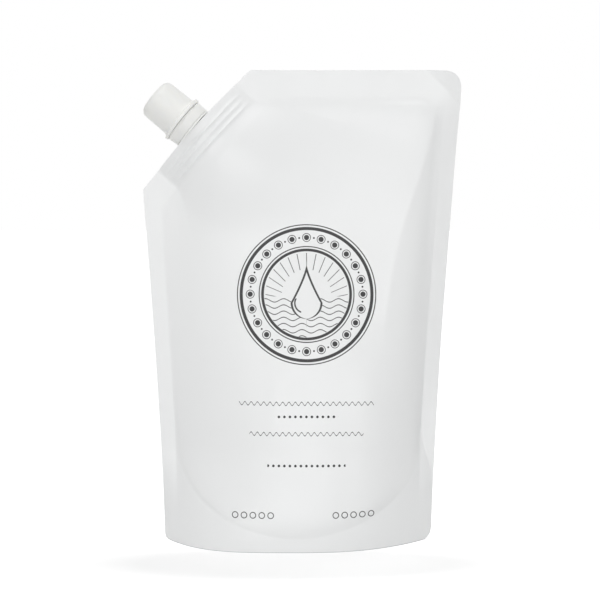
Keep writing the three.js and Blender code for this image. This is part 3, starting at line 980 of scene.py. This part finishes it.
def make_disc():
    """The cap's soft sealing disc, pressed in a little where the neck's rim meets it."""
    radius = CAP_FOOT / 2 - CAP_WALL - CLEARANCE
    z = NECK_LENGTH + CLEARANCE
    disc = turned("disc", [
        (AXIS_HOLE, z),
        (BORE / 2, z),
        (BORE / 2 + 0.3, z + DISC_GROOVE),
        (NECK / 2, z + DISC_GROOVE),
        (NECK / 2 + 0.3, z),
        *arc((radius - DISC_EDGE, z + DISC_EDGE), DISC_EDGE, -90, 0, 4),
        *arc((radius - DISC_EDGE, z + DISC_HEIGHT - DISC_EDGE), DISC_EDGE, 0, 90, 4),
        (AXIS_HOLE, z + DISC_HEIGHT),
    ])
    return assembled("liner_disc", [disc], 40)


# Shader maths


class Maths:
    """Wraps a socket so that +, -, *, /, ** and the methods below add Math nodes."""

    def __init__(self, finish, socket):
        self.finish = finish
        self.socket = socket

    def _do(self, operation, *values):
        return self.finish.maths(operation, *values)

    def __add__(self, other):
        return self._do("ADD", self, other)

    __radd__ = __add__

    def __sub__(self, other):
        return self._do("SUBTRACT", self, other)

    def __rsub__(self, other):
        return self._do("SUBTRACT", other, self)

    def __mul__(self, other):
        return self._do("MULTIPLY", self, other)

    __rmul__ = __mul__

    def __truediv__(self, other):
        return self._do("DIVIDE", self, other)

    def __rtruediv__(self, other):
        return self._do("DIVIDE", other, self)

    def __pow__(self, other):
        return self._do("POWER", self, other)

    def abs(self):
        return self._do("ABSOLUTE", self)

    def sin(self):
        return self._do("SINE", self)

    def root(self):
        return self._do("SQRT", self)

    def least(self, other):
        return self._do("MINIMUM", self, other)

    def most(self, other):
        return self._do("MAXIMUM", self, other)

    def wrap(self, period):
        """The value folded into the span from minus to plus half a period."""
        return self._do("WRAP", self, period / 2, -period / 2)

    def under(self, edge, soft):
        """1 where the value is below an edge, 0 above, with a soft step between."""
        return ((edge - self) / soft + 0.5).clamp()

    def clamp(self):
        return self.least(1).most(0)


class Finish:
    """A material, or the world's light, under construction."""

    def __init__(self, owner, shader="Principled BSDF"):
        self.material = bpy.data.materials.new(owner) if isinstance(owner, str) else owner
        self.material.use_nodes = True
        self.tree = self.material.node_tree
        self.shader = self.tree.nodes[shader]

    def node(self, kind, settings=None, inputs=None):
        made = self.tree.nodes.new(kind)
        for name, value in (settings or {}).items():
            setattr(made, name, value)
        for key, value in (inputs or {}).items():
            if isinstance(value, Maths):
                value = value.socket
            if isinstance(value, bpy.types.NodeSocket):
                self.tree.links.new(value, made.inputs[key])
            elif value is not None:
                made.inputs[key].default_value = value
        return made

    def maths(self, operation, *values):
        inputs = dict(enumerate(values))
        made = self.node("ShaderNodeMath", {"operation": operation}, inputs)
        return Maths(self, made.outputs[0])

    def place(self):
        """Object coordinates in millimetres, as a vector and as three values."""
        here = self.node("ShaderNodeTexCoord")
        scaled = self.node("ShaderNodeVectorMath", {"operation": "SCALE"},
                           {0: here.outputs["Object"], "Scale": 1 / MM})
        split = self.node("ShaderNodeSeparateXYZ", None, {0: scaled.outputs[0]})
        return scaled.outputs[0], [Maths(self, socket) for socket in split.outputs]

    def noise(self, vector, scale, detail, stretch=None):
        if stretch:
            vector = self.node("ShaderNodeVectorMath", {"operation": "MULTIPLY"},
                               {0: vector, 1: stretch}).outputs[0]
        made = self.node("ShaderNodeTexNoise", None, {"Vector": vector, "Scale": scale, "Detail": detail})
        return Maths(self, made.outputs[0])

    def blend(self, amount, first, second):
        """A colour between two, by a value from 0 to 1."""
        made = self.node("ShaderNodeMix", {"data_type": "RGBA"}, {"Factor": amount})
        colour_sockets = [socket for socket in made.inputs if socket.type == "RGBA"]
        for socket, colour in zip(colour_sockets, (first, second)):
            if isinstance(colour, bpy.types.NodeSocket):
                self.tree.links.new(colour, socket)
            else:
                socket.default_value = (*colour, 1)
        return next(socket for socket in made.outputs if socket.type == "RGBA")

    def feed(self, name, value):
        target = self.shader.inputs[name]
        if isinstance(value, Maths):
            value = value.socket
        if isinstance(value, bpy.types.NodeSocket):
            self.tree.links.new(value, target)
        else:
            target.default_value = value

    def relief(self, height, strength, distance):
        bump = self.node("ShaderNodeBump", None,
                         {"Height": height, "Strength": strength, "Distance": distance})
        self.feed("Normal", bump.outputs[0])


# Colours
WHITE_FILM = (0.863, 0.871, 0.871)
BLACK_INK = (0.013, 0.013, 0.014)
# The grey of the shade painted along the film's base, where it meets the floor
CONTACT_SHADE_GREY = (0.26, 0.26, 0.28)
NATURAL_WHITE = (0.895, 0.897, 0.872)
FOAM_WHITE = (0.86, 0.86, 0.85)
PALE_GREY = (0.86, 0.86, 0.86, 1)

# The print on the front, in millimetres: a round medallion with a drop over water in it
INK_EDGE = 0.12
FINE_EDGE = 0.2
MEDALLION = (4.1, 120.6)
MEDALLION_RINGS = ((33.0, 0.5), (31.2, 1.5), (22.6, 0.5), (21.0, 1.3))
BEADS = 24
BEAD_RING = 26.9
BEAD_SIZE = 1.25
SMALL_BEAD_SIZE = 0.45
BEAD_RIM = (1.75, 2.1)
DROP_TIP = 14.5
DROP_FOOT = -4.0
DROP_RADIUS = 7.6
DROP_POWER = 1.35
DROP_REACH = 15.5
DROP_EDGE = 0.25
DROP_LINE = 1.0
WATER_TOP = -1.5
WATER_RADIUS = 20.2
WATER_TURN = 0.72
WAVE_PITCH = 2.9
WAVE_RISE = 0.8
SUN_Z = -4
SUN_RAYS = 32
RAY_WIDTH = 0.34
RAYS_FROM = 11.8
RAYS_TO = 19.6
RAYS_FLOOR = -1.0
SHINE_CENTRE = (-1.2, -4.2)
SHINE_RADIUS = 4.4
SHINE_WIDTH = 0.7
SHINE_CORNER = (-2.6, -2.0)

# The rows of ornament under it: kind, middle, height and length
ORNAMENT_ROWS = (
    ("wave", 4.0, 69.3, 64.0),
    ("beads", 4.0, 63.2, 30.0),
    ("wave", 4.0, 55.1, 54.0),
    ("beads", 4.0, 40.3, 37.0),
    ("rings", -21.2, 17.6, 21.0),
    ("rings", 26.2, 17.6, 20.0),
)
LINE_WIDTH = 0.42
ROW_WAVE_TURN = 2.1
ROW_BEAD_PITCH = 2.6
ROW_BEAD_SIZE = 0.62
ROW_RING_PITCH = 4.2
ROW_RING_RADIUS = 1.35
ROW_RING_WIDTH = 0.4


def stroke(distance, width):
    """A fine line where a distance is zero, softened at its edges."""
    return distance.abs().under(width / 2, INK_EDGE)


def dots(finish, u, v, size, shift=0.0):
    """The medallion's ring of dots, turned by a shift."""
    angle = finish.maths("ARCTAN2", v, u) + shift
    off = angle.wrap(2 * math.pi / BEADS) * BEAD_RING
    ring = (u * u + v * v).root() - BEAD_RING
    return (off * off + ring * ring).root().under(size, INK_EDGE)


def medallion(finish, x, z):
    """Rings, beads and a drop over small waves, drawn in fine black lines."""
    u, v = x - MEDALLION[0], z - MEDALLION[1]
    r = (u * u + v * v).root()
    ink = stroke(r - MEDALLION_RINGS[0][0], MEDALLION_RINGS[0][1])
    for radius, width in MEDALLION_RINGS[1:]:
        ink = ink.most(stroke(r - radius, width))
    ink = ink.most(dots(finish, u, v, BEAD_SIZE))
    ink = ink.most(dots(finish, u, v, SMALL_BEAD_SIZE, math.pi / BEADS))
    rim_inside, rim_outside = BEAD_RIM
    ink = ink.most(dots(finish, u, v, rim_outside) - dots(finish, u, v, rim_inside))
    wide = drop_half_width(v)
    near = r.under(DROP_REACH, 0.1)
    drop = (u.abs() - wide).under(0, DROP_EDGE) * near
    inner = (u.abs() - wide + DROP_LINE).under(0, DROP_EDGE) * near
    scene_in_ring = water(u, v, r).most(rays(finish, u, v, r))
    ink = ink.most(scene_in_ring * (1 - drop))
    return ink.most(drop - inner).most(shine(u, v))


def drop_half_width(v):
    """The drop's half width by height: a round foot that runs up into a tip."""
    upper = ((DROP_TIP - v) / (DROP_TIP - DROP_FOOT)).clamp() ** DROP_POWER * DROP_RADIUS
    lower = (1 - ((v - DROP_FOOT) / DROP_RADIUS) ** 2).clamp().root() * DROP_RADIUS
    is_upper = (DROP_FOOT - v).under(0, 0.05)
    return is_upper * upper + (1 - is_upper) * lower


def shine(u, v):
    """The short curved line in the drop's lower left."""
    du, dv = u - SHINE_CENTRE[0], v - SHINE_CENTRE[1]
    line = stroke((du * du + dv * dv).root() - SHINE_RADIUS, SHINE_WIDTH)
    return line * (u - SHINE_CORNER[0]).under(0, 0.3) * (v - SHINE_CORNER[1]).under(0, 0.3)


def water(u, v, r):
    """Rows of small waves in the medallion's lower half."""
    ripples = stroke((v + (u * WATER_TURN).sin() * WAVE_RISE).wrap(WAVE_PITCH), LINE_WIDTH)
    return ripples * (v - WATER_TOP).under(0, FINE_EDGE) * r.under(WATER_RADIUS, INK_EDGE)


def rays(finish, u, v, r):
    """Straight rays over the waves."""
    turn = finish.maths("ARCTAN2", v - SUN_Z, u).wrap(2 * math.pi / SUN_RAYS)
    lines = stroke(turn * (r - SUN_Z), RAY_WIDTH)
    span = r.under(RAYS_TO, INK_EDGE) * (RAYS_FROM - r).under(0, INK_EDGE)
    return lines * span * (RAYS_FLOOR - v).under(0, FINE_EDGE)


def ornament_rows(x, z):
    """Rows of fine waves, beads and rings under the medallion."""
    rows = None
    for kind, middle, height, length in ORNAMENT_ROWS:
        u, v = x - middle, z - height
        if kind == "wave":
            line = stroke(v - (u * ROW_WAVE_TURN).sin() * WAVE_RISE, LINE_WIDTH)
        elif kind == "beads":
            across = u.wrap(ROW_BEAD_PITCH)
            line = (across * across + v * v).root().under(ROW_BEAD_SIZE, INK_EDGE)
        else:
            across = u.wrap(ROW_RING_PITCH)
            line = stroke((across * across + v * v).root() - ROW_RING_RADIUS, ROW_RING_WIDTH)
        row = line * u.abs().under(length / 2, INK_EDGE)
        rows = row if rows is None else rows.most(row)
    return rows


# The finishes


def film_finish():
    """Satin white film, a little uneven, with print on its front and shade painted along its base."""
    film = Finish("printed_film")
    vector, (x, y, z) = film.place()
    front = (y + 0.4).under(0, 0.1)
    ink = medallion(film, x, z).most(ornament_rows(x, z)) * front
    cloud = film.noise(vector, 0.02, 2.0)
    white = film.blend(cloud * 0.5, WHITE_FILM, tuple(c * 0.985 for c in WHITE_FILM))
    # Painted shade: the lowest 0.4 mm of the film is darkened towards grey along its base, where it meets
    # the floor
    painted_contact_shade = z.under(0.4, 0.3) * 0.4
    printed = film.blend(ink, white, BLACK_INK)
    film.feed("Base Color", film.blend(painted_contact_shade, printed, CONTACT_SHADE_GREY))
    smear = film.noise(vector, 0.05, 3.0)
    film.feed("Roughness", smear * 0.12 + 0.30 + ink * 0.12)
    film.feed("Specular IOR Level", 0.5)
    grain = film.noise(vector, 0.9, 3.0) * 0.35 + film.noise(vector, 0.12, 2.0, (1, 1, 0.6))
    film.relief(grain, 0.12, 0.0004)
    return film.material


def moulded_finish(name, colour, roughness, scatter):
    """Moulded plastic or foam: faintly mottled, with a little light let in."""
    plastic = Finish(name)
    vector, _ = plastic.place()
    cloud = plastic.noise(vector, 0.25, 2.0)
    plastic.feed("Base Color", plastic.blend(cloud, colour, tuple(c * 0.96 for c in colour)))
    plastic.feed("Roughness", plastic.noise(vector, 0.6, 3.0) * 0.12 + roughness)
    plastic.feed("Subsurface Weight", scatter)
    plastic.feed("Subsurface Radius", (1.0, 0.95, 0.8))
    plastic.feed("Subsurface Scale", 0.002)
    plastic.relief(plastic.noise(vector, 3.0, 2.0), 0.08, 0.0001)
    return plastic.material


def dress(piece, material):
    piece.data.materials.clear()
    piece.data.materials.append(material)


def make_pouch():
    """The whole skin of the pouch as one closed mesh."""
    points, faces = pouch_mesh()
    mesh = bpy.data.meshes.new("pouch_skin")
    mesh.from_pydata([tuple(p) for p in points * MM], [], faces)
    mesh.validate()
    skin = in_scene("pouch_skin", mesh)
    smooth(skin, 50)
    return skin


# The pieces: each one's finish, slot and body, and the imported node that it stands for
cap_white = moulded_finish("cap_polyethylene", NATURAL_WHITE, 0.42, 0.15)
spout_white = moulded_finish("spout_polyethylene", NATURAL_WHITE, 0.38, 0.15)
liner_white = moulded_finish("liner_foam", FOAM_WHITE, 0.75, 0.0)
for piece, material, slot, body, node in (
    (make_pouch(), film_finish(), "film", "pack", "pouch"),
    (make_spout(), spout_white, "spout_plastic", "pack", "spout"),
    (make_band(), cap_white, "cap_plastic", "pack", "tamper_band"),
    (make_cap(), cap_white, "cap_plastic", "cap", "cap"),
    (make_disc(), liner_white, "liner", "liner", "seal_disc"),
):
    dress(piece, material)
    settle(piece, slot, body, node)


# The stage. The floor gives its own light to the camera, in full away from the pouch and less in
# front of it, where its shadow lies: a long round patch with a soft edge
NEAR_GLOW = 0.22
FAR_GLOW = 0.9
SHADOW_Y = -50.0
SHADOW_STRETCH = 3.0
SHADOW_REACH = 24.0
SHADOW_FADE = 46.0
AMBIENT = 0.415
FLOOR_RADIUS = 6


def make_floor():
    """A pale floor that shows white to the camera and keeps the pouch's shadow."""
    select_none()
    bpy.ops.mesh.primitive_circle_add(vertices=64, radius=FLOOR_RADIUS, fill_type="NGON")
    floor = bpy.context.active_object
    floor.name = "floor"
    paint = Finish("pale_floor")
    paint.feed("Base Color", PALE_GREY)
    paint.feed("Roughness", 0.9)
    paint.feed("Specular IOR Level", 0.0)
    _, (x, y, _) = paint.place()
    aside = x / SHADOW_STRETCH
    ahead = y - SHADOW_Y
    away = ((aside * aside + ahead * ahead).root() - SHADOW_REACH) / SHADOW_FADE
    glow = paint.blend(away.clamp(), (NEAR_GLOW,) * 3, (FAR_GLOW,) * 3)
    paint.feed("Emission Color", paint.blend(seen_rays(paint), (0, 0, 0), glow))
    paint.feed("Emission Strength", 1)
    dress(floor, paint.material)


def seen_rays(finish):
    """1 for rays from the camera, and for those that a glossy or clear surface sends on."""
    path = finish.node("ShaderNodeLightPath")
    kinds = ("Is Camera Ray", "Is Glossy Ray", "Is Transmission Ray")
    camera, glossy, clear = (Maths(finish, path.outputs[kind]) for kind in kinds)
    return (camera + glossy + clear).clamp()


def make_world():
    """White where it is seen, and a soft grey light on everything."""
    world = bpy.data.worlds.new("studio")
    bpy.context.scene.world = world
    studio = Finish(world, "Background")
    studio.feed("Color", studio.blend(seen_rays(studio), (AMBIENT,) * 3, (1, 1, 1)))


def softbox(name, place, aim, size, power):
    """A rectangular lamp turned towards a point, in metres and watts."""
    data = bpy.data.lights.new(name, "AREA")
    data.shape = "RECTANGLE"
    data.size, data.size_y = size
    data.energy = power
    lamp = in_scene(name, data)
    lamp.location = place
    lamp.rotation_euler = (Vector(aim) - Vector(place)).to_track_quat("-Z", "Y").to_euler()


def make_camera():
    data = bpy.data.cameras.new("camera")
    data.lens = CAMERA_LENS
    data.sensor_width = CAMERA_SENSOR
    camera = in_scene("camera", data)
    camera.location = Vector(CAMERA_PLACE) * MM
    camera.rotation_euler = (math.radians(90 - CAMERA_PITCH), 0, 0)
    bpy.context.scene.camera = camera


make_floor()
make_world()

# Lamps: a name, a place, the point it faces, its width and height, and its power
softbox("front", (-0.06, -1.75, 0.33), (0, 0, 0.14), (0.95, 0.5), 6.6)
softbox("top", (-0.1, -0.5, 1.4), (0, 0, 0.12), (1.5, 0.7), 7.9)
softbox("left", (-1.3, -0.6, 0.5), (0, 0, 0.12), (0.6, 0.9), 0.2)
softbox("back", (1.3, 1.3, 0.7), (0, 0, 0.1), (0.8, 0.8), 6.5)
make_camera()

bpy.context.scene.view_settings.view_transform = "Standard"
